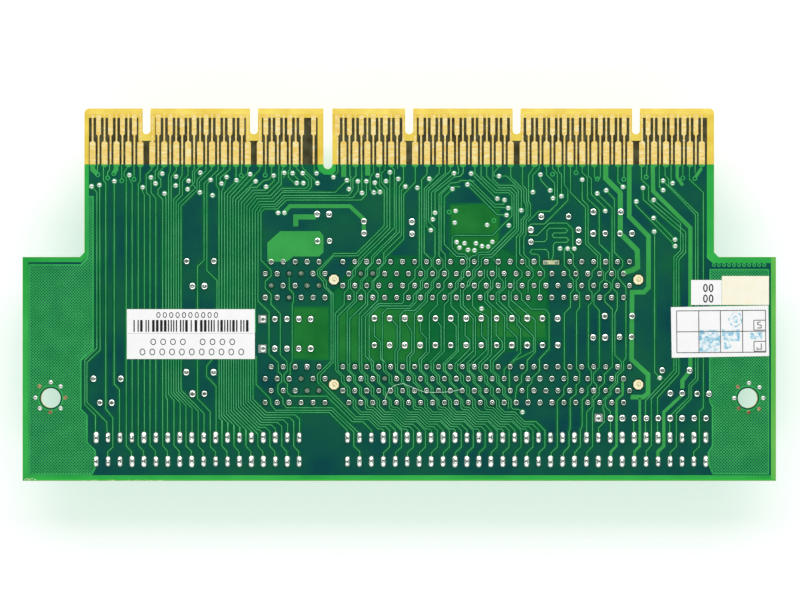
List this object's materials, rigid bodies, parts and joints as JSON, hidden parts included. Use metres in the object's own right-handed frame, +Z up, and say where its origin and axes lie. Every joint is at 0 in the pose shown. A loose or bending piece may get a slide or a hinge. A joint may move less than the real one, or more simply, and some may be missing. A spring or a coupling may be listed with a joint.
{
  "type": "adapter card",
  "caption": "T-shaped circuit board adapter with a keyed gold edge tongue, rows of solder joints and paper labels above, and long and short bus slots below.",
  "frame": {"origin": "under the middle of the board, on the surface that the mouths of the slots rest on", "axes": "+X along the slots, +Y towards the edge tongue, +Z up out of the solder side"},
  "size_m": [0.1602, 0.0792, 0.014],
  "materials": {
    "laminate": "green solder mask on glass laminate",
    "gold": "plated gold, lightly scuffed",
    "solder": "bright solder",
    "contact_metal": "plated spring contacts",
    "black_plastic": "moulded",
    "ivory_plastic": "moulded",
    "network_resin": "dipped resin",
    "resistor_lacquer": "lacquer",
    "can_sleeve": "shrunk sleeve over an aluminium can",
    "ceramic_dip": "dipped",
    "chip_resin": "moulded resin",
    "tinned_lead": "tinned",
    "white_label": "coated label paper",
    "cream_label": "coated label paper"
  },
  "bodies": {
    "root": {"board": "laminate", "edge_lands_solder_side": "gold", "edge_lands_component_side": "gold", "long_slot_housing": "black_plastic", "long_slot_contacts": "contact_metal", "long_slot_solder_joints": "solder", "rear_short_slot_housing": "ivory_plastic", "rear_short_slot_contacts": "contact_metal", "rear_short_slot_solder_joints": "solder", "front_short_slot_housing": "ivory_plastic", "front_short_slot_contacts": "contact_metal", "front_short_slot_solder_joints": "solder", "component_solder_joints": "solder", "ten_pin_network": "network_resin", "front_five_pin_network": "network_resin", "rear_five_pin_network": "network_resin", "pull_up_resistors": "resistor_lacquer", "pull_up_resistor_leads": "tinned_lead", "can_capacitors": "can_sleeve", "ceramic_capacitors": "ceramic_dip", "clock_buffer_chip": "chip_resin", "clock_buffer_leads": "tinned_lead", "bar_label": "white_label", "number_label": "white_label", "cream_label": "cream_label", "table_label": "white_label"}
  },
  "joints": []
}
